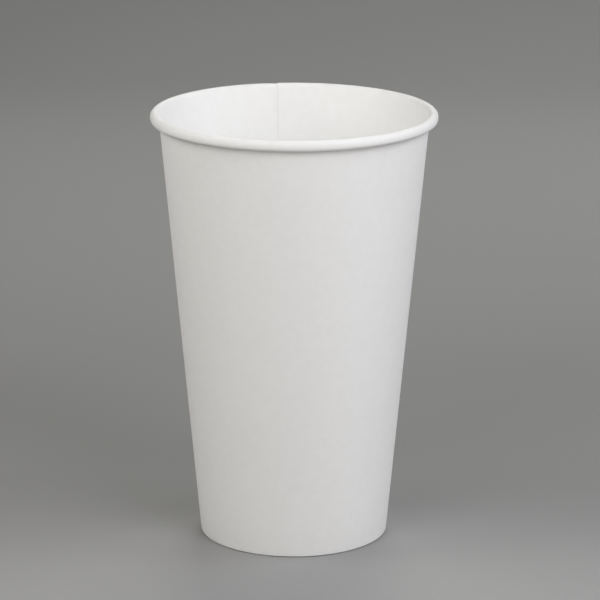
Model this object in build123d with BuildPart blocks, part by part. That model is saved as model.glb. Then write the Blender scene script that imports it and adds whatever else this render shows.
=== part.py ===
"""Single-wall paper cup for a hot drink, standing on its foot.

The cup is two pieces of paperboard. The sidewall is one blank: it is wrapped to a cone, lapped and
sealed down one side, rolled outwards to the bead of the rim, and folded inwards and up to the hem of
the foot. The bottom is a disc with its edge turned down to a skirt, and the skirt is clamped between
the wall and the hem.

Millimetres, +Z up. The origin is the middle of the foot, on the ground.
"""
import os
from math import acos, asin, atan2, ceil, cos, degrees, hypot, pi, radians, sin, tan

from build123d import *

# Overall sizes
rim_diameter = 90.0  # over the rolled bead
cup_height = 137.0
foot_diameter = 59.6  # outer face of the wall, carried down to the ground

# Board
wall_board = 0.35
bottom_board = 0.30
seal_gap = 0.02  # between the skirt and the board on each side of it
bend_error = 0.088  # a bend is drawn in flats that run inside its true arc by no more than this

# Rolled bead of the rim
bead_width = 3.0  # from the inner face of the wall to the widest point
bead_height = 3.35
curl_gap = 0.05  # between the lapped wall and the curl that comes back to it
tail_radius = 0.90  # last stretch of the curl, tucked up inside the bead
tail_turn = 40.0

# Folded foot
fold_radius = 0.07  # inside each corner of the fold
hem_height = 7.5
skirt_edge_height = 1.5  # lower edge of the skirt, above the ground
recess_height = 10.0  # underside of the bottom disc, above the ground
shoulder_radius = 0.8  # outside the bend from the skirt to the disc

# Side seam
seam_azimuth = 97.3  # inner edge of the lap, anticlockwise from +X
lap_layers = 2
lap_width = 6.8  # overlap of the blank's two ends, measured at the mouth
ramp_width = 5.0  # stretch over which the outer end steps out to pass over the inner one
ramp_steps = 4

# The bead's bends. The under one comes back to the wall clear of the second layer at the lap
bead_radius = bead_width / 2
bead_middle = (rim_diameter / 2 - bead_radius, cup_height - bead_radius)
under_radius = bead_radius - wall_board - curl_gap / 2
under_middle = (rim_diameter / 2 - under_radius, cup_height - bead_height + under_radius)
tail_middle = (under_middle[0] - under_radius + tail_radius, under_middle[1])

# The wall leans outwards from the foot, and its outer face runs tangent into the bead
reach = bead_middle[0] - foot_diameter / 2
rise = bead_middle[1]
taper = degrees(atan2(reach, rise) - asin((bead_radius - wall_board) / hypot(reach, rise)))
out_of_wall = (cos(radians(taper)), -sin(radians(taper)))
mouth_radius = bead_middle[0] - bead_radius * out_of_wall[0]
lap_angle = degrees(lap_width / mouth_radius)
ramp_angle = degrees(ramp_width / mouth_radius)

# The fold holds the skirt with a gap on each side, on a flat land between its two bends
clamp_width = bottom_board + 2 * seal_gap
land_width = (clamp_width - 2 * fold_radius) / out_of_wall[0]


def inner_face_radius(height: float) -> float:
    """Radius of the wall's inner face at a height."""
    return foot_diameter / 2 - wall_board / out_of_wall[0] + height * tan(radians(taper))


def inside_wall(height: float, distance: float) -> tuple[float, float]:
    """The point at a distance square in from the wall's inner face, which it meets at a height."""
    return (inner_face_radius(height) - distance * out_of_wall[0], height - distance * out_of_wall[1])


def middle_inside_wall(height: float, radius: float) -> tuple[float, float]:
    """Middle of a bend of this radius that lies at a height and touches the wall's inner face."""
    return (inner_face_radius(height) - radius / out_of_wall[0], height)


def bend(
    middle: tuple[float, float], outside: float, radius: float, start: float, turn: float
) -> list[tuple[float, float]]:
    """Ends of the flats that one face of the board makes round a bend.

    The face lies at a radius from the bend's middle and runs from a start bearing through a turn,
    in degrees, anticlockwise from outwards. The bend's outside radius sets how many flats there are,
    so that both faces have as many.
    """
    flats = ceil(abs(turn) / degrees(2 * acos(1 - bend_error / outside)))
    bearings = [radians(start + turn * step / flats) for step in range(flats + 1)]
    return [(middle[0] + radius * cos(b), middle[1] + radius * sin(b)) for b in bearings]


def sheet_face(depth: float, outermost: float) -> list[tuple[float, float]]:
    """One face of the blank, from the edge of the hem, round the fold and up the wall to the curl's end.

    depth is how far it lies out from the wall's inner face, and outermost is the depth of the face
    that stands on the ground. Depth widens the bends of the fold and tightens those of the curl.
    """
    fold_outside = fold_radius + wall_board
    outer_corner = middle_inside_wall(outermost + fold_radius, fold_radius)
    inner_corner = (outer_corner[0] - land_width, outer_corner[1])
    return [
        inside_wall(hem_height, clamp_width + depth),
        *bend(inner_corner, fold_outside, fold_radius + depth, -180 - taper, 90 + taper),
        *bend(outer_corner, fold_outside, fold_radius + depth, -90, 90 - taper),
        *bend(bead_middle, bead_radius, bead_radius - depth, 180 - taper, taper - 90),
        *bend(bead_middle, bead_radius, bead_radius - depth, 90, -90)[1:],
        *bend(under_middle, under_radius, under_radius - depth, 0, -180),
        *bend(tail_middle, tail_radius, tail_radius - depth, 180, -tail_turn)[1:],
    ]


def sheet_section(azimuth: float, start: float = 0.0, layers: int = 1) -> Sketch:
    """Section of the blank at an azimuth, its first layer standing out by start from the wall's face."""
    along = radians(azimuth)
    upright = Plane(origin=(0, 0, 0), x_dir=(cos(along), sin(along), 0), z_dir=(sin(along), -cos(along), 0))
    end = start + layers * wall_board
    with BuildSketch(upright) as section:
        with BuildLine():
            Polyline(*sheet_face(start, end), *reversed(sheet_face(end, end)), close=True)
        make_face()
    return section.sketch


def ramp_section(share: float) -> Sketch:
    """Section of the outer end where it comes in off the lap, from a full board out at 0 to none at 1."""
    start = wall_board * (1 + cos(pi * share)) / 2
    return sheet_section(seam_azimuth + share * ramp_angle, start)


def bottom_face(depth: float) -> list[tuple[float, float]]:
    """One face of the bottom, from the skirt's edge over the shoulder to the axis.

    depth is how far it lies in from the skirt's outer face.
    """
    disc_top = recess_height + bottom_board
    shoulder_height = disc_top - shoulder_radius
    shoulder_x = middle_inside_wall(shoulder_height, seal_gap + shoulder_radius)[0]
    return [
        inside_wall(skirt_edge_height, seal_gap + depth),
        *bend((shoulder_x, shoulder_height), shoulder_radius, shoulder_radius - depth, -taper, 90 + taper),
        (0, disc_top - depth),
    ]


# Sidewall: two layers at the lap, the ramp that comes in off it, and one layer round the rest
with BuildPart() as sidewall:
    revolve(sheet_section(seam_azimuth - lap_angle, layers=lap_layers), axis=Axis.Z, revolution_arc=lap_angle)
    loft([ramp_section(step / ramp_steps) for step in range(ramp_steps + 1)], ruled=True)
    revolve(sheet_section(seam_azimuth + ramp_angle), axis=Axis.Z, revolution_arc=360 - ramp_angle - lap_angle)

# Bottom disc with its turned-down skirt
with BuildPart() as bottom_disc:
    with BuildSketch(Plane.XZ):
        with BuildLine():
            Polyline(*bottom_face(0), *reversed(bottom_face(bottom_board)), close=True)
        make_face()
    revolve(axis=Axis.Z)

os.makedirs("parts", exist_ok=True)
sidewall.part.label = "sidewall"
export_step(sidewall.part, "parts/sidewall.step")
bottom_disc.part.label = "bottom_disc"
export_step(bottom_disc.part, "parts/bottom_disc.step")
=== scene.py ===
"""Dresses the single-wall paper cup: its sidewall blank, its clamped bottom, and a plain studio.

The sidewall is one closed sheet of board, wrapped clockwise from its inner edge through a whole turn
and on over the lap. Along its height the sheet runs from the edge of the hem, round the fold of the
foot, up the wall, over the rolled bead and into the curl. The bottom is a second sheet, with its edge
turned down to a skirt.

Metres, +Z up, the front towards -Y. The origin is the middle of the foot, on the ground.
"""

import logging
from dataclasses import dataclass, field
from enum import Enum, auto
from math import asin, atan2, cos, degrees, hypot, pi, radians, sin, tan
from typing import Any, Union

import bpy
import numpy as np
from mathutils import Matrix, Vector


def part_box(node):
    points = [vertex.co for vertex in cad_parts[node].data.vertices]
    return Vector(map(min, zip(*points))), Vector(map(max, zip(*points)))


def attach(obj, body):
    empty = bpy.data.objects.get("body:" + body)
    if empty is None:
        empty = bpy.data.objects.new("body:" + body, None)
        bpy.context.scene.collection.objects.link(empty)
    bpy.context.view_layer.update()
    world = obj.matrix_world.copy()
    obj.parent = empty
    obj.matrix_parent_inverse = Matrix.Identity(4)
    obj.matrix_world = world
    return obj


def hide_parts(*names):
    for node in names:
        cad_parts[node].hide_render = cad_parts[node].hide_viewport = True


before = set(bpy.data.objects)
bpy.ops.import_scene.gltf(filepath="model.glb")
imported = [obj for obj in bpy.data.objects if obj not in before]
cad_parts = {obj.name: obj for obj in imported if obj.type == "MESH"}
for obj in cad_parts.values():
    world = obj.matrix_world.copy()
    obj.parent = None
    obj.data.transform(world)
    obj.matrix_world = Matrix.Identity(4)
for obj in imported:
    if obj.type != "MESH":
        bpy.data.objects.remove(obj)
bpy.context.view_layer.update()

log = logging.getLogger("paper_cup")
MM = 0.001
PICTURE_WIDTH = 600  # pixels
SENSOR_WIDTH = 36.0  # millimetres, as a camera counts them
SHARP_BEND = radians(38)  # faces that meet at more than this show an edge
BLANK_MAP = "blank"  # each piece's own map, its board laid flat
Array = np.ndarray
Number = Union[int, float]
Colour = tuple[float, float, float]
Point = tuple[float, float, float]


def linear(red: float, green: float, blue: float) -> Colour:
    """Turns a colour written in display steps, 0 to 255, into linear light.

    Args:
        red: Display step of red.
        green: Display step of green.
        blue: Display step of blue.

    Returns:
        The three linear values, 0 to 1.
    """
    steps = np.array((red, green, blue)) / 255
    light = np.where(steps <= 0.04045, steps / 12.92, ((steps + 0.055) / 1.055) ** 2.4)
    return float(light[0]), float(light[1]), float(light[2])


def ease(share: Array) -> Array:
    """Eases a share from 0 to 1 with a level start and end, as half a cosine wave does."""
    return (1 - np.cos(pi * np.clip(share, 0, 1))) / 2


class Wire:
    """A shader value that Python's operators join into Math nodes."""

    def __init__(self, bench: "Bench", socket: bpy.types.NodeSocket) -> None:
        """Keeps the bench that the value is made on and the socket that gives it."""
        self.bench = bench
        self.socket = socket

    def _join(self, operation: str, first: "Operand", second: "Operand") -> "Wire":
        """Adds one Math node.

        Args:
            operation: Name of the Math node's operation.
            first: Its first value.
            second: Its second value.

        Returns:
            The node's result.
        """
        return self.bench.node("ShaderNodeMath", {"operation": operation}, {0: first, 1: second})

    def __add__(self, other: "Operand") -> "Wire":
        """Sum of two values."""
        return self._join("ADD", self, other)

    def __sub__(self, other: "Operand") -> "Wire":
        """Difference of two values."""
        return self._join("SUBTRACT", self, other)

    def __mul__(self, other: "Operand") -> "Wire":
        """Product of two values."""
        return self._join("MULTIPLY", self, other)

    __radd__ = __add__

    def between(self, low: float, high: float) -> "Wire":
        """Share of the way from low to high, held to 0 and 1 and eased at both ends.

        Args:
            low: Value that gives 0.
            high: Value that gives 1.

        Returns:
            The share.
        """
        settings = {"interpolation_type": "SMOOTHSTEP"}
        inputs = {"Value": self, "From Min": low, "From Max": high}
        return self.bench.node("ShaderNodeMapRange", settings, inputs)


Operand = Union[Wire, Number]
Tone = Union[Wire, Colour]


class Bench:
    """Node tree of one material, with the few calls that its finish is made with."""

    def __init__(self, name: str) -> None:
        """Makes an empty material of this name with an output."""
        self.material = bpy.data.materials.new(name)
        self.material.use_nodes = True
        self.tree = self.material.node_tree
        self.tree.nodes.clear()
        self.output = self.tree.nodes.new("ShaderNodeOutputMaterial")

    def add(
        self, kind: str, settings: dict[str, Any] | None = None, inputs: dict[Any, Any] | None = None
    ) -> bpy.types.Node:
        """Adds a node, sets it, and joins or fills its inputs.

        Args:
            kind: The node's type.
            settings: Its own properties, set before its inputs.
            inputs: Values or wires for its input sockets, by name or number.

        Returns:
            The node.
        """
        made = self.tree.nodes.new(kind)
        for name, value in (settings or {}).items():
            setattr(made, name, value)
        for key, value in (inputs or {}).items():
            if isinstance(value, Wire):
                self.tree.links.new(value.socket, made.inputs[key])
            else:
                made.inputs[key].default_value = value
        return made

    def node(
        self,
        kind: str,
        settings: dict[str, Any] | None = None,
        inputs: dict[Any, Any] | None = None,
        output: int | str = 0,
    ) -> Wire:
        """Adds a node as add does.

        Args:
            kind: The node's type.
            settings: Its own properties, set before its inputs.
            inputs: Values or wires for its input sockets, by name or number.
            output: The output that is wanted.

        Returns:
            That output's value.
        """
        return Wire(self, self.add(kind, settings, inputs).outputs[output])

    def place(self, stretch: Point = (1.0, 1.0, 1.0), turn: float = 0.0, own_map: str = "") -> Wire:
        """The place on the object, or on the piece's own map, stretched and turned.

        Args:
            stretch: Factor for each axis.
            turn: Turn about Z in degrees.
            own_map: Name of the piece's map, or nothing for Object coordinates.

        Returns:
            The place as a vector.
        """
        if own_map:
            start = self.node("ShaderNodeUVMap", {"uv_map": own_map})
        else:
            start = self.node("ShaderNodeTexCoord", output="Object")
        inputs = {"Vector": start, "Rotation": (0, 0, radians(turn)), "Scale": stretch}
        return self.node("ShaderNodeMapping", {"vector_type": "TEXTURE"}, inputs)

    def noise(self, place: Wire, size: float, detail: float = 2.0, roughness: float = 0.5) -> Wire:
        """Cloudy pattern about 0.5.

        Args:
            place: Where it is read.
            size: Width of one cloud in metres.
            detail: Octaves of finer clouds in it.
            roughness: Weight of the finer clouds.

        Returns:
            The pattern's value.
        """
        inputs = {"Vector": place, "Scale": 1 / size, "Detail": detail, "Roughness": roughness}
        return self.node("ShaderNodeTexNoise", None, inputs)

    def blend(self, share: Wire, first: Tone, second: Tone) -> Wire:
        """Mixes two colours.

        Args:
            share: Share of the second one.
            first: The colour at 0, as three values or a wire.
            second: The colour at 1, as three values or a wire.

        Returns:
            The colour between them.
        """
        made = self.add("ShaderNodeMix", {"data_type": "RGBA"}, {0: share})
        sockets = [s for s in made.inputs if s.type == "RGBA"]
        for socket, tone in zip(sockets, (first, second)):
            if isinstance(tone, Wire):
                self.tree.links.new(tone.socket, socket)
            else:
                socket.default_value = (*tone, 1.0)
        return Wire(self, next(s for s in made.outputs if s.type == "RGBA"))

    def relief(self, height: Wire, distance: float, strength: float = 1.0) -> Wire:
        """Fine relief for a shader's Normal.

        Args:
            height: The relief's pattern, 0 to 1.
            distance: Height of the pattern in metres.
            strength: Share of the relief that shows.

        Returns:
            The bent normal.
        """
        inputs = {"Strength": strength, "Distance": distance, "Height": height}
        return self.node("ShaderNodeBump", None, inputs, "Normal")

    def surface(self, inputs: dict[str, Any]) -> bpy.types.Material:
        """Ends the tree with a Principled shader.

        Args:
            inputs: Values or wires for the shader's sockets, by name.

        Returns:
            The finished material.
        """
        shader = self.node("ShaderNodeBsdfPrincipled", None, inputs)
        self.tree.links.new(shader.socket, self.output.inputs["Surface"])
        return self.material


class Side(Enum):
    """Faces of a board: the lined one, the bare one, and the cut edge between them."""

    LINED = 0
    BARE = 1
    CUT = 2


@dataclass(frozen=True)
class BareBoard:
    """Uncoated face of the board: matte, with cloudy formation, fibres and a felt-like tooth.

    Attributes:
        name: Name of the material.
        dense: Colour where the pulp lies dense, in display steps.
        thin: Colour where it lies thin.
        tooth: Height of the fine relief in metres.
    """

    name: str
    dense: Colour = (242.0, 242.0, 241.0)
    thin: Colour = (239.0, 239.0, 237.5)
    tooth: float = 0.012 * MM

    def make(self) -> bpy.types.Material:
        """Builds the material.

        Returns:
            The finished material.
        """
        bench = Bench(self.name)
        clouds = bench.noise(bench.place(), 2.6 * MM, 4.0, 0.6)
        along = bench.noise(bench.place((0.22, 1.6, 1), 8, BLANK_MAP), 1.0 * MM, 3.0, 0.6)
        across = bench.noise(bench.place((0.3, 1.9, 1), -34, BLANK_MAP), 1.1 * MM, 3.0, 0.6)
        grain = bench.noise(bench.place(own_map=BLANK_MAP), 0.35 * MM, 2.0, 0.6)
        share = (clouds * 0.5 + along * 0.25 + across * 0.25).between(0.36, 0.64)
        fibres = along * 0.45 + across * 0.35 + grain * 0.2
        return bench.surface(
            {
                "Base Color": bench.blend(share, linear(*self.thin), linear(*self.dense)),
                "Roughness": 0.82 + (grain - 0.5) * 0.2,
                "Specular IOR Level": 0.28,
                "Normal": bench.relief(fibres, self.tooth),
            }
        )


@dataclass(frozen=True)
class LinedBoard:
    """Lined face of the board: a thin clear film over the fibres, with a low satin gloss.

    Attributes:
        name: Name of the material.
        dense: Colour where the pulp lies dense, in display steps.
        thin: Colour where it lies thin.
        gloss: Mean roughness of the film.
        ripple: Height of the film's soft relief in metres.
    """

    name: str
    dense: Colour = (245.0, 245.0, 244.0)
    thin: Colour = (242.5, 242.5, 241.0)
    gloss: float = 0.55
    ripple: float = 0.02 * MM

    def make(self) -> bpy.types.Material:
        """Builds the material.

        Returns:
            The finished material.
        """
        bench = Bench(self.name)
        clouds = bench.noise(bench.place(), 3.2 * MM, 4.0, 0.6)
        fibres = bench.noise(bench.place((0.3, 1.6, 1), 12, BLANK_MAP), 1.2 * MM, 3.0, 0.55)
        soft = bench.noise(bench.place(own_map=BLANK_MAP), 1.6 * MM, 2.0, 0.5)
        share = (clouds * 0.65 + fibres * 0.35).between(0.36, 0.64)
        return bench.surface(
            {
                "Base Color": bench.blend(share, linear(*self.thin), linear(*self.dense)),
                "Roughness": self.gloss + (clouds - 0.5) * 0.25,
                "Specular IOR Level": 0.3,
                "Normal": bench.relief(soft * 0.7 + fibres * 0.3, self.ripple),
            }
        )


@dataclass(frozen=True)
class CutBoard:
    """Cut edge of the board: the plies of pulp show as fine streaks along the edge.

    Attributes:
        name: Name of the material.
        pale: Colour of the pale plies, in display steps.
        deep: Colour of the deep plies.
        nap: Height of the torn fibres in metres.
    """

    name: str
    pale: Colour = (236.0, 234.0, 229.0)
    deep: Colour = (218.0, 214.0, 206.0)
    nap: float = 0.03 * MM

    def make(self) -> bpy.types.Material:
        """Builds the material.

        Returns:
            The finished material.
        """
        bench = Bench(self.name)
        plies = bench.noise(bench.place((1, 1, 3)), 0.12 * MM, 2.0, 0.6)
        tufts = bench.noise(bench.place(), 0.5 * MM, 3.0, 0.6)
        share = (plies * 0.6 + tufts * 0.4).between(0.35, 0.65)
        return bench.surface(
            {
                "Base Color": bench.blend(share, linear(*self.deep), linear(*self.pale)),
                "Roughness": 0.88 + (tufts - 0.5) * 0.15,
                "Specular IOR Level": 0.25,
                "Normal": bench.relief(tufts, self.nap),
            }
        )


@dataclass(frozen=True)
class StudioPaper:
    """Matte grey paper of the floor and backdrop. Its tone is painted light and shade that changes with the
    distance from the cup.

    Attributes:
        name: Name of the material.
        near_painted_bounce: Colour of the floor in front of the cup, in display steps; lighter, as painted
            light bounced off the cup.
        beside_painted_shade: Colour next to the cup's base; darker, as painted shade where the cup's shadow
            falls.
        behind_painted_light: Colour some way back from the cup; lighter, as a painted pool of light.
        distant_painted_shade: Colour far back from the cup; darker, as painted fall-off of the light.
        tooth: Height of the paper's fine relief in metres.
    """

    name: str
    near_painted_bounce: Colour = (154.0, 154.0, 154.0)
    beside_painted_shade: Colour = (135.0, 135.0, 135.0)
    behind_painted_light: Colour = (170.0, 170.0, 170.0)
    distant_painted_shade: Colour = (162.0, 162.0, 162.0)
    tooth: float = 0.02 * MM

    def make(self) -> bpy.types.Material:
        """Builds the material.

        Returns:
            The finished material.
        """
        bench = Bench(self.name)
        place = bench.place()
        forward = bench.node("ShaderNodeSeparateXYZ", None, {"Vector": place}, "Y")
        tooth = bench.noise(place, 1.2 * MM, 3.0, 0.6)
        # Painted light and shade: the floor is lighter in front of the cup and darker round its base, where
        # its shadow falls.
        tone = bench.blend(forward.between(-0.04, 0.05), linear(*self.near_painted_bounce), linear(*self.beside_painted_shade))
        # Painted light: a lighter band some way back from the cup.
        tone = bench.blend(forward.between(0.0, 0.56), tone, linear(*self.behind_painted_light))
        return bench.surface(
            {
                # Painted shade: the floor darkens again far back from the cup, as the light falls off.
                "Base Color": bench.blend(forward.between(0.56, 0.75), tone, linear(*self.distant_painted_shade)),
                "Roughness": 0.6,
                "Specular IOR Level": 0.4,
                "Normal": bench.relief(tooth, self.tooth, 0.4),
            }
        )


@dataclass
class Skin:
    """A closed skin of quads and triangles that is ready to become a mesh.

    Attributes:
        points: Corners, one row each.
        faces: Corner numbers of each face, in arrays of one width each.
        sides: The board's side that each array's faces lie on.
        spread: Place of each corner on the flat blank.
    """

    points: Array
    faces: list[Array]
    sides: list[Side]
    spread: Array

    def piece(self, name: str, finishes: dict[Side, bpy.types.Material]) -> bpy.types.Object:
        """Puts the skin into a mesh and dresses it.

        Args:
            name: Name of the piece.
            finishes: The material of each side.

        Returns:
            The new piece, at the origin.
        """
        mesh = bpy.data.meshes.new(name)
        counts = np.concatenate([np.full(len(array), array.shape[1]) for array in self.faces])
        corners = np.concatenate([array.ravel() for array in self.faces])
        mesh.vertices.add(len(self.points))
        mesh.vertices.foreach_set("co", self.points.astype(np.float32).ravel())
        mesh.loops.add(len(corners))
        mesh.loops.foreach_set("vertex_index", corners.astype(np.int32))
        mesh.polygons.add(len(counts))
        mesh.polygons.foreach_set("loop_start", (np.cumsum(counts) - counts).astype(np.int32))
        worn = np.repeat([side.value for side in self.sides], [len(array) for array in self.faces])
        mesh.polygons.foreach_set("material_index", worn.astype(np.int32))
        blank = mesh.uv_layers.new(name=BLANK_MAP)
        blank.uv.foreach_set("vector", self.spread[corners].astype(np.float32).ravel())
        mesh.update(calc_edges=True)
        mesh.validate()
        for side in Side:
            mesh.materials.append(finishes[side])
        mesh.shade_smooth()
        mesh.set_sharp_from_angle(angle=SHARP_BEND)
        made = bpy.data.objects.new(name, mesh)
        bpy.context.scene.collection.objects.link(made)
        return made


def line(first: Array, last: Array, rows: int) -> Array:
    """Points on a straight stretch, without its first one.

    A point is first + (last - first) x share, with the share in equal steps up to 1.

    Args:
        first: Start of the stretch, one for each column.
        last: End of the stretch, one for each column.
        rows: Number of points.

    Returns:
        Points by column and row.
    """
    share = (np.arange(rows) + 1)[None, :, None] / rows
    return first[:, None, :] + (last - first)[:, None, :] * share


def arc(middle: Array, radius: Array, start: float, turn: float, rows: int) -> Array:
    """Points round a bend, without its first one.

    A point is middle + radius x (cos, sin) of a bearing that runs from start through turn.

    Args:
        middle: Middle of the bend, one for each column.
        radius: Radius, one for each column.
        start: First bearing in degrees, from outwards.
        turn: Degrees turned through.
        rows: Number of points.

    Returns:
        Points by column and row.
    """
    bearing = np.radians(start + turn * (np.arange(rows) + 1) / rows)
    spokes = np.stack([np.cos(bearing), np.sin(bearing)], axis=-1)
    return middle[:, None, :] + radius[:, None, None] * spokes[None, :, :]


def on_bend(middle: Array, radius: Array, bearing: float) -> Array:
    """The point of a bend at one bearing.

    Args:
        middle: Middle of the bend, one for each column.
        radius: Radius, one for each column.
        bearing: Bearing in degrees, from outwards.

    Returns:
        One point for each column.
    """
    return middle + radius[:, None] * np.array([cos(radians(bearing)), sin(radians(bearing))])


@dataclass
class Wall:
    """Lean of the sidewall, which the blank and the bottom share.

    Attributes:
        rim_radius: Half the width over the bead.
        height: Height of the cup.
        foot_radius: Outer face of the wall, carried down to the ground.
        board: Thickness of the sidewall's board.
        bead_radius: Half the bead's width.
    """

    rim_radius: float
    height: float
    foot_radius: float = 29.8 * MM
    board: float = 0.35 * MM
    bead_radius: float = 1.5 * MM

    def __post_init__(self) -> None:
        """Works out the lean, at which the wall's outer face runs tangent into the bead."""
        self.bead_middle = (self.rim_radius - self.bead_radius, self.height - self.bead_radius)
        reach = self.bead_middle[0] - self.foot_radius
        rise = self.bead_middle[1]
        self.lean = atan2(reach, rise) - asin((self.bead_radius - self.board) / hypot(reach, rise))

    def inner_radius(self, height: Array) -> Array:
        """Radius of the wall's inner face at a height."""
        return self.foot_radius - self.board / cos(self.lean) + height * tan(self.lean)

    def inside(self, height: Array, distance: Array) -> Array:
        """The point at a distance square in from the wall's inner face, which it meets at a height.

        Args:
            height: Height at which the square line leaves the face.
            distance: Distance in from the face.

        Returns:
            Radius and height of the point, one for each column.
        """
        radius = self.inner_radius(height) - distance * cos(self.lean)
        return np.stack([radius, height + distance * sin(self.lean)], axis=-1)

    def middle(self, height: Array, radius: Array) -> Array:
        """Middle of a bend of this radius that lies at a height and touches the wall's inner face.

        Args:
            height: Height of the middle.
            radius: Radius of the bend.

        Returns:
            Radius and height of the middle, one for each column.
        """
        return np.stack([self.inner_radius(height) - radius / cos(self.lean), height + radius * 0], axis=-1)


class Stretch(Enum):
    """Stretches of the blank's section, from the hem's edge to the end of the curl."""

    HEM = auto()
    INNER_FOLD = auto()
    LAND = auto()
    OUTER_FOLD = auto()
    WALL = auto()
    OVER = auto()
    SIDE = auto()
    HEEL = auto()
    UNDER = auto()
    TUCK = auto()
    TAIL = auto()


@dataclass
class SidewallBlank:
    """The sidewall: one blank, wrapped and lapped, rolled at the rim and folded at the foot.

    Attributes:
        wall: Lean of the wall.
        seal: Gap between the two layers of the lap.
        clamp: Room between the wall and the hem for the bottom's skirt.
        fold_radius: Inside the fold's inner corner.
        crease_radius: Inside the fold's outer corner, which is creased sharper than it is thick.
        crease_growth: Share of the depth by which the crease widens outwards.
        crease_lift: How far the outer corner stands off the ground.
        hem_height: Height of the hem's edge.
        bead_height: Height of the rolled bead.
        heel_radius: Radius of the bend from the bead's side to its under side.
        tuck_radius: Radius of the bend with which the under side turns back up to the wall.
        curl_gap: Gap between the curl and the wall that it comes back to.
        tail_radius: Radius of the curl's last stretch.
        tail_turn: Degrees that the curl's last stretch turns through.
        seam: Azimuth of the blank's inner edge, in degrees.
        lap_width: Overlap of the blank's two ends at the mouth.
        ramp_width: Stretch over which the outer end steps out to pass over the inner one.
        settle_width: Stretch over which the fold comes down beyond the lap's outer edge.
        pressed_width: Stretch over which the blank's inner edge is pressed thin.
        pressed_share: Share of the board that is left at that edge.
        ridges: Number of pressed ridges round the hem.
        ridge_depth: How deep the ridges are pressed.
        wave_height: Height of the wall's slow waves.
        fine_wrinkle: Half the depth of the bead's fine wrinkles.
        broad_wrinkle: Half the depth of its broad ones.
        columns: Steps round a whole turn.
        rows: Steps along each stretch of the section.
    """

    wall: Wall
    seal: float = 0.01 * MM
    clamp: float = 0.34 * MM
    fold_radius: float = 0.07 * MM
    crease_radius: float = 0.03 * MM
    crease_growth: float = 0.3
    crease_lift: float = 0.27 * MM
    hem_height: float = 7.5 * MM
    bead_height: float = 3.33 * MM
    heel_radius: float = 1.42 * MM
    tuck_radius: float = 0.78 * MM
    curl_gap: float = 0.05 * MM
    tail_radius: float = 0.90 * MM
    tail_turn: float = 40.0
    seam: float = 97.3
    lap_width: float = 6.8 * MM
    ramp_width: float = 5.0 * MM
    settle_width: float = 2.0 * MM
    pressed_width: float = 1.4 * MM
    pressed_share: float = 0.58
    ridges: int = 96
    ridge_depth: float = 0.11 * MM
    wave_height: float = 0.05 * MM
    fine_wrinkle: float = 0.010 * MM
    broad_wrinkle: float = 0.012 * MM
    columns: int = 576
    rows: dict[Stretch, int] = field(
        default_factory=lambda: {
            Stretch.HEM: 9,
            Stretch.INNER_FOLD: 3,
            Stretch.LAND: 1,
            Stretch.OUTER_FOLD: 6,
            Stretch.WALL: 16,
            Stretch.OVER: 15,
            Stretch.SIDE: 1,
            Stretch.HEEL: 7,
            Stretch.UNDER: 1,
            Stretch.TUCK: 6,
            Stretch.TAIL: 3,
        }
    )

    def __post_init__(self) -> None:
        """Turns the widths of the lap, measured at the mouth, into angles."""
        mouth = self.wall.bead_middle[0] - self.wall.bead_radius * cos(self.wall.lean)
        self.lap = degrees(self.lap_width / mouth)
        self.ramp = degrees(self.ramp_width / mouth)
        self.settle = degrees(self.settle_width / mouth)
        self.pressed = degrees(self.pressed_width / mouth)

    def around(self) -> Array:
        """Degrees run round from the inner edge, in equal steps that take in the ends of the ramp and lap."""
        steps = np.linspace(0, 360, self.columns + 1)
        more = np.linspace(360, 360 + self.lap, 1 + round(self.lap / 360 * self.columns))
        edge = np.linspace(0, self.pressed, 7)
        marks = [self.lap, self.lap + self.settle, 360 - self.ramp]
        return np.unique(np.round(np.concatenate([steps, more, edge, 360 + edge, marks]), 6))

    def thickness(self, around: Array) -> Array:
        """Thickness of the blank itself.

        One board, but pressed thin at the inner edge, from which it grows by half a cosine wave.

        Args:
            around: Degrees from the inner edge.

        Returns:
            The thickness, one for each column.
        """
        left = self.pressed_share + (1 - self.pressed_share) * ease(around / self.pressed)
        return self.wall.board * left

    def offset(self, around: Array) -> Array:
        """How far the blank stands out from the wall's inner face.

        It lies on the face up to the ramp, rises by half a cosine wave to the thin inner edge and the
        seal, and over the lap it follows the inner layer's back.

        Args:
            around: Degrees from the inner edge.

        Returns:
            The distance, one for each column.
        """
        ramp = ease((around - (360 - self.ramp)) / self.ramp)
        return (self.thickness(np.maximum(around - 360, 0)) + self.seal) * ramp

    def stack(self, around: Array) -> Array:
        """Thickness of all the board at an azimuth, from the wall's inner face outwards.

        One board, with the inner layer and the seal under it at the lap. It grows along the ramp and
        falls by half a cosine wave where the fold settles beyond the lap.

        Args:
            around: Degrees from the inner edge.

        Returns:
            The thickness, one for each column.
        """
        turned = np.mod(around, 360.0)
        lapped = (self.thickness(turned) + self.seal) * (1 - ease((turned - self.lap) / self.settle))
        return self.wall.board + np.maximum(lapped, self.offset(turned))

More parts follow.
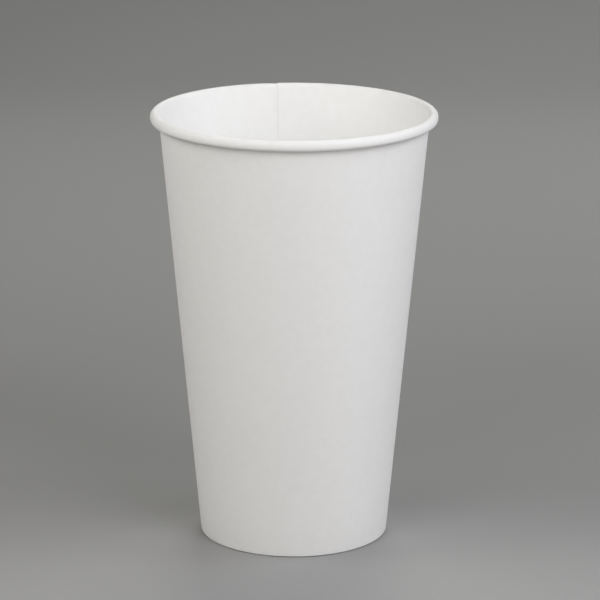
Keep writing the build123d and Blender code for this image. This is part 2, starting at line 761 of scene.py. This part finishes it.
    def face(self, depth: Array, stack: Array) -> Array:
        """One face of the blank in section, from the hem's edge to the end of the curl.

        Straight stretches and bends follow each other. Depth widens the bends of the fold and
        tightens those of the curl, as board does that is folded one way and rolled the other. The
        bends of the fold are set by the stack so that its lowest layer stands on the ground with its
        inner corner, and the under side of the bead so that the curl closes on the wall.

        Args:
            depth: How far the face lies out from the wall's inner face, one for each column.
            stack: Thickness of all the board, one for each column.

        Returns:
            Radius and height by column and row.
        """
        wall, rows = self.wall, self.rows
        lean = degrees(wall.lean)
        flat = np.zeros_like(depth)
        fold = self.fold_radius + depth
        crease = self.crease_radius + self.crease_growth * depth
        inner_corner = wall.middle(stack + self.fold_radius, flat + self.clamp - self.fold_radius)
        outer_corner = wall.middle(stack - depth + self.crease_lift + crease, crease - depth)
        bead = np.broadcast_to(np.array(wall.bead_middle), outer_corner.shape)
        over = wall.bead_radius - depth
        closed = wall.bead_radius - (stack + self.curl_gap) / 2
        bottom, side = flat + wall.height - self.bead_height, flat + wall.rim_radius
        curl_inside = wall.rim_radius - 2 * closed
        heel_middle = np.stack([side - self.heel_radius, bottom + self.heel_radius], axis=-1)
        tuck_middle = np.stack([curl_inside + self.tuck_radius, bottom + self.tuck_radius], axis=-1)
        tail_middle = np.stack([curl_inside + self.tail_radius, bottom + self.tuck_radius], axis=-1)
        heel, tuck = self.heel_radius - depth, self.tuck_radius - depth
        edge = wall.inside(flat + self.hem_height, self.clamp + depth)
        stretches = [
            edge[:, None, :],
            line(edge, on_bend(inner_corner, fold, -180 - lean), rows[Stretch.HEM]),
            arc(inner_corner, fold, -180 - lean, 90 + lean, rows[Stretch.INNER_FOLD]),
            line(on_bend(inner_corner, fold, -90), on_bend(outer_corner, crease, -90), rows[Stretch.LAND]),
            arc(outer_corner, crease, -90, 90 - lean, rows[Stretch.OUTER_FOLD]),
            line(on_bend(outer_corner, crease, -lean), on_bend(bead, over, 180 - lean), rows[Stretch.WALL]),
            arc(bead, over, 180 - lean, lean - 180, rows[Stretch.OVER]),
            line(on_bend(bead, over, 0), on_bend(heel_middle, heel, 0), rows[Stretch.SIDE]),
            arc(heel_middle, heel, 0, -90, rows[Stretch.HEEL]),
            line(on_bend(heel_middle, heel, -90), on_bend(tuck_middle, tuck, -90), rows[Stretch.UNDER]),
            arc(tuck_middle, tuck, -90, -90, rows[Stretch.TUCK]),
            arc(tail_middle, self.tail_radius - depth, 180, -self.tail_turn, rows[Stretch.TAIL]),
        ]
        return np.concatenate(stretches, axis=1)

    def stretch_of_row(self) -> Array:
        """The number of the stretch that each row ends."""
        counts = [self.rows[s] for s in Stretch]
        return np.concatenate([[Stretch.HEM.value], np.repeat([s.value for s in Stretch], counts)])

    def waves(self, azimuth: Array, section: Array) -> Array:
        """Slow unevenness of the formed wall, towards the lined face.

        Two slow waves run round the wall and lean as they climb. They fade to nothing towards the
        bottom disc and towards the bead.

        Args:
            azimuth: Azimuth of each column, in radians.
            section: Radius and height by column and row.

        Returns:
            The lift by column and row.
        """
        climb = section[..., 1] / self.wall.height
        turn = azimuth[:, None]
        wave = 0.6 * np.cos(3 * turn + 2.2 * climb + 0.7) + 0.4 * np.cos(5 * turn - 4.1 * climb + 2.0)
        fade = ease((climb - 0.12) / 0.3) * ease((0.965 - climb) / 0.15)
        return self.wave_height * wave * fade

    def wrinkles(self, azimuth: Array, along: Array, rolled: Array) -> Array:
        """Fine wrinkles across the bead, always inwards.

        Waves of a few millimetres and less run round the bead, shifted against each other along it,
        under a slow envelope that leaves some stretches smooth.

        Args:
            azimuth: Azimuth of each column, in radians.
            along: Place of each row along the section.
            rolled: 1 on the bead's rows and 0 elsewhere.

        Returns:
            The lift by column and row.
        """
        turn = azimuth[:, None]
        run = (along / (1.5 * MM))[None, :]
        fine = np.cos(97 * turn + 1.3 * run) * np.cos(41 * turn - 0.9 * run + 1.1)
        broad = np.cos(29 * turn + 0.7 * run + 2.0) * np.cos(13 * turn + 0.4)
        envelope = 0.35 + 0.65 * np.cos((turn + 0.65) / 2) ** 6
        depth = self.fine_wrinkle * (1 + fine) + self.broad_wrinkle * (1 + broad)
        return -rolled[None, :] * envelope * depth

    def ridge_marks(self, around: Array, stretch: Array, section: Array) -> Array:
        """Upright ridges that the closing tool presses into the bare side of the hem.

        Each groove is a raised cosine wave round the hem, fading out towards the hem's edge and the
        fold.

        Args:
            around: Degrees from the inner edge.
            stretch: Stretch number of each row.
            section: Radius and height by column and row.

        Returns:
            The lift by column and row.
        """
        height = section[..., 1]
        run_out = 0.8 * MM
        above_fold = ease((height - 1.4 * MM) / run_out)
        below_edge = ease((self.hem_height - 0.5 * MM - height) / run_out)
        groove = (1 - np.cos(np.radians(around) * self.ridges)) / 2
        on_hem = (stretch == Stretch.HEM.value)[None, :]
        return self.ridge_depth * groove[:, None] * (above_fold * below_edge) * on_hem

    def weave(self, columns: int, size: int) -> list[Array]:
        """Joins the grid's corners to faces that all look away from the board.

        Args:
            columns: Number of columns.
            size: Corners in the loop of one column, half of them on each face of the board.

        Returns:
            The faces of the lined side, of the bare side and of the cut edges.
        """
        rows = size // 2
        number = np.arange(columns * size).reshape(columns, size)
        ahead = np.roll(number, -1, axis=1)
        quads = np.stack([number[:-1], number[1:], ahead[1:], ahead[:-1]], axis=-1)
        lined, bare = number[0, :rows], number[0, ::-1][:rows]
        start_cut = np.stack([lined[1:], bare[1:], bare[:-1], lined[:-1]], axis=-1)
        end_cut = (start_cut + number[-1, 0])[:, ::-1]
        cut = np.concatenate([quads[:, rows - 1], quads[:, size - 1], start_cut, end_cut])
        return [quads[:, : rows - 1].reshape(-1, 4), quads[:, rows : size - 1].reshape(-1, 4), cut]

    def skin(self) -> Skin:
        """Works the sheet out on its grid: columns round the cup, rows along the section.

        The lined face lies at the offset, the bare face one board further out, and both are lifted
        along the line that joins them. The rows of the two faces make one loop at each column, and
        the first and last columns are closed by the two cut ends.

        Returns:
            The closed skin.
        """
        around = self.around()
        azimuth = np.radians(self.seam - around)
        offset, stack = self.offset(around), self.stack(around)
        lined = self.face(offset, stack)
        bare = self.face(offset + self.thickness(around), stack)
        inwards = lined - bare
        inwards /= np.linalg.norm(inwards, axis=-1, keepdims=True)
        first = self.face(np.zeros(1), np.full(1, self.wall.board))[0]
        steps = np.linalg.norm(np.diff(first, axis=0), axis=-1)
        along = np.concatenate([[0], np.cumsum(steps)])
        stretch = self.stretch_of_row()
        rolled = ((stretch >= Stretch.OVER.value) & (stretch <= Stretch.TUCK.value)).astype(float)
        lift = self.waves(azimuth, lined) + self.wrinkles(azimuth, along, rolled)
        lined = lined + inwards * lift[..., None]
        bare = bare + inwards * (lift + self.ridge_marks(around, stretch, bare))[..., None]
        loop = np.concatenate([lined, bare[:, ::-1]], axis=1)
        turn = azimuth[:, None]
        points = np.stack([loop[..., 0] * np.cos(turn), loop[..., 0] * np.sin(turn), loop[..., 1]], axis=-1)
        spread_row = np.concatenate([along, along[::-1]])
        run = np.radians(around) * (self.wall.foot_radius + self.wall.rim_radius) / 2
        spread = np.stack(np.broadcast_arrays(run[:, None], spread_row[None, :]), axis=-1).reshape(-1, 2)
        faces = self.weave(*loop.shape[:2])
        return Skin(points.reshape(-1, 3), faces, [Side.LINED, Side.BARE, Side.CUT], spread)

    def dress(self, skin: Skin) -> bpy.types.Object:
        """Makes the piece with its finishes and ties it to the frame.

        Args:
            skin: The worked-out sheet.

        Returns:
            The finished piece.
        """
        finishes = {
            Side.LINED: LinedBoard("lined_wall_board").make(),
            Side.BARE: BareBoard("bare_wall_board").make(),
            Side.CUT: CutBoard("cut_wall_board").make(),
        }
        piece = skin.piece("sidewall_board", finishes)
        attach(piece, "root")
        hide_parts("sidewall")
        return piece


@dataclass
class ClampedBottom:
    """The bottom: a disc with its edge turned down to a skirt, clamped between wall and hem.

    Attributes:
        wall: Lean of the wall.
        board: Thickness of the bottom's board.
        gap: Gap between the skirt and the wall.
        skirt_edge: Height of the skirt's lower edge.
        recess: Height of the disc's underside.
        shoulder: Radius outside the bend from the skirt to the disc.
        columns: Steps round a whole turn.
        skirt_rows: Steps up the skirt.
        shoulder_rows: Steps round the shoulder.
        disc_rows: Steps from the shoulder to the middle.
        wave_height: Height of the disc's slow waves.
        pucker_count: Number of puckers round the shoulder.
        pucker_depth: Half the depth of a pucker.
    """

    wall: Wall
    board: float = 0.30 * MM
    gap: float = 0.02 * MM
    skirt_edge: float = 1.5 * MM
    recess: float = 10.0 * MM
    shoulder: float = 0.8 * MM
    columns: int = 288
    skirt_rows: int = 8
    shoulder_rows: int = 9
    disc_rows: int = 24
    wave_height: float = 0.12 * MM
    pucker_count: int = 48
    pucker_depth: float = 0.03 * MM

    def face(self, depth: float) -> Array:
        """One face of the bottom in section, from the skirt's edge over the shoulder towards the axis.

        Args:
            depth: How far the face lies in from the skirt's outer face.

        Returns:
            Radius and height by column and row, the same for each column.
        """
        one = np.zeros(1)
        top = self.recess + self.board
        corner = self.wall.middle(one + top - self.shoulder, one + self.gap + self.shoulder)
        edge = self.wall.inside(one + self.skirt_edge, one + self.gap + depth)
        lean = degrees(self.wall.lean)
        bend = one + self.shoulder - depth
        level = on_bend(corner, bend, 90)
        inner = level * np.array([1 / self.disc_rows, 0]) + np.array([0, top - depth])
        return np.concatenate(
            [
                edge[:, None, :],
                line(edge, on_bend(corner, bend, -lean), self.skirt_rows),
                arc(corner, bend, -lean, 90 + lean, self.shoulder_rows),
                line(level, inner, self.disc_rows - 1),
            ],
            axis=1,
        )

    def lift(self, around: Array, radius: Array) -> Array:
        """Unevenness of the disc, upwards.

        A few slow waves cross the disc, and shallow puckers run over the shoulder, where the edge was
        gathered into the skirt.

        Args:
            around: Azimuth of each column, in radians.
            radius: Radius by column and row.

        Returns:
            The lift by column and row.
        """
        share = radius / self.wall.foot_radius
        turn = around[:, None]
        x, y = share * np.cos(turn), share * np.sin(turn)
        waves = np.cos(2.6 * x + 1.4 * y + 0.4) * np.cos(1.9 * y - 1.1 * x + 1.0)
        slow = self.wave_height * waves * ease((0.93 - share) / 0.25)
        puckers = np.cos(self.pucker_count * turn) * (0.6 + 0.4 * np.cos(7 * turn + 1.2))
        near_edge = ease((share - 0.86) / 0.07) * ease((0.985 - share) / 0.035)
        return slow + self.pucker_depth * (puckers - 1) * near_edge

    def skin(self) -> Skin:
        """Works the bottom out on its grid: columns round the axis, rows along the section.

        Both faces get the same lift. The rows of the two faces make one band at each column, closed
        at the skirt's edge, and each face is closed at the axis by one point.

        Returns:
            The closed skin.
        """
        around = np.linspace(0, 2 * pi, self.columns, endpoint=False)
        upper, under = self.face(0.0)[0], self.face(self.board)[0]
        band = np.concatenate([under[::-1], upper], axis=0)
        rows = len(upper)
        radius = np.broadcast_to(band[:, 0], (self.columns, 2 * rows))
        height = band[:, 1] + self.lift(around, radius)
        turn = around[:, None]
        grid = np.stack([radius * np.cos(turn), radius * np.sin(turn), height], axis=-1).reshape(-1, 3)
        middle = self.lift(np.zeros(1), np.zeros((1, 1)))[0, 0]
        poles = np.array([[0, 0, self.recess + middle], [0, 0, self.recess + self.board + middle]])
        points = np.concatenate([grid, poles])
        number = np.arange(self.columns * 2 * rows).reshape(self.columns, 2 * rows)
        across = np.roll(number, -1, axis=0)
        quads = np.stack([number[:, :-1], across[:, :-1], across[:, 1:], number[:, 1:]], axis=-1)
        low, high = len(points) - 2, len(points) - 1
        low_fan = np.stack([across[:, 0], number[:, 0], np.full(self.columns, low)], axis=-1)
        high_fan = np.stack([number[:, -1], across[:, -1], np.full(self.columns, high)], axis=-1)
        return Skin(
            points,
            [
                quads[:, rows:].reshape(-1, 4),
                quads[:, : rows - 1].reshape(-1, 4),
                quads[:, rows - 1],
                high_fan,
                low_fan,
            ],
            [Side.LINED, Side.BARE, Side.CUT, Side.LINED, Side.BARE],
            points[:, :2],
        )

    def dress(self, skin: Skin) -> bpy.types.Object:
        """Makes the piece with its finishes and ties it to the frame.

        Args:
            skin: The worked-out bottom.

        Returns:
            The finished piece.
        """
        finishes = {
            Side.LINED: LinedBoard("lined_bottom_board").make(),
            Side.BARE: BareBoard("bare_bottom_board").make(),
            Side.CUT: CutBoard("cut_bottom_board").make(),
        }
        piece = skin.piece("bottom_board", finishes)
        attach(piece, "root")
        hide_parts("bottom_disc")
        return piece


@dataclass(frozen=True)
class Lamp:
    """A soft square lamp that faces the cup.

    Attributes:
        name: Name of the lamp.
        place: Where it hangs.
        width: Width of its square.
        power: Watts.
        tint: Colour of its light.
        target: What it faces.
    """

    name: str
    place: Point
    width: float
    power: float
    tint: Colour = (1.0, 1.0, 1.0)
    target: Point = (0.0, 0.0, 0.13)

    def hang(self) -> None:
        """Makes the lamp and turns it to its target."""
        data = bpy.data.lights.new(self.name, "AREA")
        data.shape = "SQUARE"
        data.size = self.width
        data.energy = self.power
        data.color = self.tint
        made = bpy.data.objects.new(self.name, data)
        made.location = self.place
        towards = Vector(self.target) - Vector(self.place)
        made.rotation_euler = towards.to_track_quat("-Z", "Y").to_euler()
        bpy.context.scene.collection.objects.link(made)


@dataclass
class Studio:
    """Plain studio: a round floor that curves up to a backdrop, soft lamps and the camera.

    Attributes:
        flat_radius: Radius of the level floor.
        cove_radius: Radius of the curve from the floor to the backdrop.
        backdrop: Height of the backdrop.
        floor_columns: Steps round the floor.
        floor_rows: Rings of the level floor.
        cove_rows: Rings of the curve.
        focal: Focal length in pixels of the picture.
        pitch: How far the camera looks down, in radians.
        yaw: How far it looks to the right.
        roll: How far it leans.
        distance: How far in front of the cup it stands.
        eye_height: Its height.
        lamps: The soft lamps.
        ambient: Colour and strength of the light from all round.
    """

    flat_radius: float = 2.0
    cove_radius: float = 0.8
    backdrop: float = 2.2
    floor_columns: int = 96
    floor_rows: int = 23
    cove_rows: int = 12
    focal: float = 3191.155
    pitch: float = 0.269066
    yaw: float = 0.001955
    roll: float = 0.002029
    distance: float = 0.975489
    eye_height: float = 0.344710
    lamps: tuple[Lamp, ...] = (
        Lamp("key_lamp", (0.32, -0.42, 0.42), 0.35, 1.81, (0.947, 0.932, 1.0)),
        Lamp("fill_lamp", (-0.28, -0.5, 0.44), 0.35, 1.30, (0.988, 1.0, 0.975)),
        Lamp("left_lamp", (-0.5, 0.0, 0.42), 0.35, 1.24, (1.0, 0.955, 0.923)),
        Lamp("right_lamp", (1.3, 0.1, 0.9), 0.9, 8.1, (0.975, 0.985, 1.0)),
        Lamp("front_lamp", (0.1, -1.3, 0.4), 0.75, 1.98, (1.0, 0.96, 0.788)),
        Lamp("back_lamp", (0.2, 1.3, 1.2), 0.9, 8.2, (0.991, 1.0, 0.945)),
    )
    ambient: Colour = (0.0, 0.0, 0.0)

    def lay_floor(self) -> None:
        """Lays the floor: rings that run level from the middle, then up a quarter bend to the backdrop."""
        run = np.linspace(0, self.flat_radius, self.floor_rows + 1)[1:]
        bearing = np.linspace(0, pi / 2, self.cove_rows + 1)[1:]
        curve = self.flat_radius + self.cove_radius * np.sin(bearing)
        radius = np.concatenate([run, curve, [self.flat_radius + self.cove_radius]])
        height = np.concatenate([run * 0, self.cove_radius * (1 - np.cos(bearing)), [self.backdrop]])
        columns = self.floor_columns
        turn = np.linspace(0, 2 * pi, columns, endpoint=False)[:, None]
        rings = np.stack([radius * np.cos(turn), radius * np.sin(turn), height + turn * 0], axis=-1)
        points = np.concatenate([rings.reshape(-1, 3), [[0, 0, 0]]])
        number = np.arange(columns * len(radius)).reshape(columns, len(radius))
        across = np.roll(number, -1, axis=0)
        quads = np.stack([number[:, :-1], number[:, 1:], across[:, 1:], across[:, :-1]], axis=-1)
        fan = np.stack([np.full(columns, len(points) - 1), number[:, 0], across[:, 0]], axis=-1)
        mesh = bpy.data.meshes.new("studio_floor")
        mesh.from_pydata(points.tolist(), [], quads.reshape(-1, 4).tolist() + fan.tolist())
        mesh.shade_smooth()
        # The floor's material paints light and shade into the paper's tone.
        mesh.materials.append(StudioPaper("studio_paper_painted_light").make())
        floor = bpy.data.objects.new("studio_floor", mesh)
        bpy.context.scene.collection.objects.link(floor)

    def light(self) -> None:
        """Hangs the lamps and sets the light from all round."""
        for lamp in self.lamps:
            lamp.hang()
        world = bpy.data.worlds.new("studio_light")
        world.use_nodes = True
        background = world.node_tree.nodes["Background"]
        background.inputs["Color"].default_value = (*self.ambient, 1.0)
        background.inputs["Strength"].default_value = 1.0
        bpy.context.scene.world = world
        bpy.context.scene.view_settings.view_transform = "Standard"

    def place_camera(self) -> None:
        """Stands the camera in front of the cup, looking down on it."""
        ahead = np.array([sin(self.yaw) * cos(self.pitch), cos(self.yaw) * cos(self.pitch), -sin(self.pitch)])
        level = np.array([cos(self.yaw), -sin(self.yaw), 0.0])
        upwards = np.cross(level, ahead)
        right = cos(self.roll) * level + sin(self.roll) * upwards
        above = cos(self.roll) * upwards - sin(self.roll) * level
        eye = np.array([0.0, -self.distance, self.eye_height])
        columns = np.column_stack([right, above, -ahead, eye])
        data = bpy.data.cameras.new("camera")
        data.sensor_width = SENSOR_WIDTH
        data.lens = SENSOR_WIDTH * self.focal / PICTURE_WIDTH
        camera = bpy.data.objects.new("camera", data)
        camera.matrix_world = Matrix([*columns.tolist(), [0, 0, 0, 1]])
        bpy.context.scene.collection.objects.link(camera)
        bpy.context.scene.camera = camera

    def build(self) -> None:
        """Builds the whole studio."""
        self.lay_floor()
        self.light()
        self.place_camera()


def report(piece: bpy.types.Object) -> None:
    """Logs a finished piece with its triangles and its size in millimetres."""
    triangles = sum(len(face.vertices) - 2 for face in piece.data.polygons)
    size = " x ".join(f"{side / MM:.2f}" for side in piece.dimensions)
    log.info("%s: %d triangles, %s mm", piece.name, triangles, size)


def main() -> None:
    """Builds the sidewall, the bottom and the studio."""
    logging.basicConfig(level=logging.INFO, format="%(message)s")
    low, high = (np.array(corner, dtype=float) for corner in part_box("sidewall"))
    wall = Wall(rim_radius=float(high[0] - low[0]) / 2, height=float(high[2]))
    for part in (SidewallBlank(wall), ClampedBottom(wall)):
        report(part.dress(part.skin()))
    Studio().build()


if __name__ == "__main__":
    main()
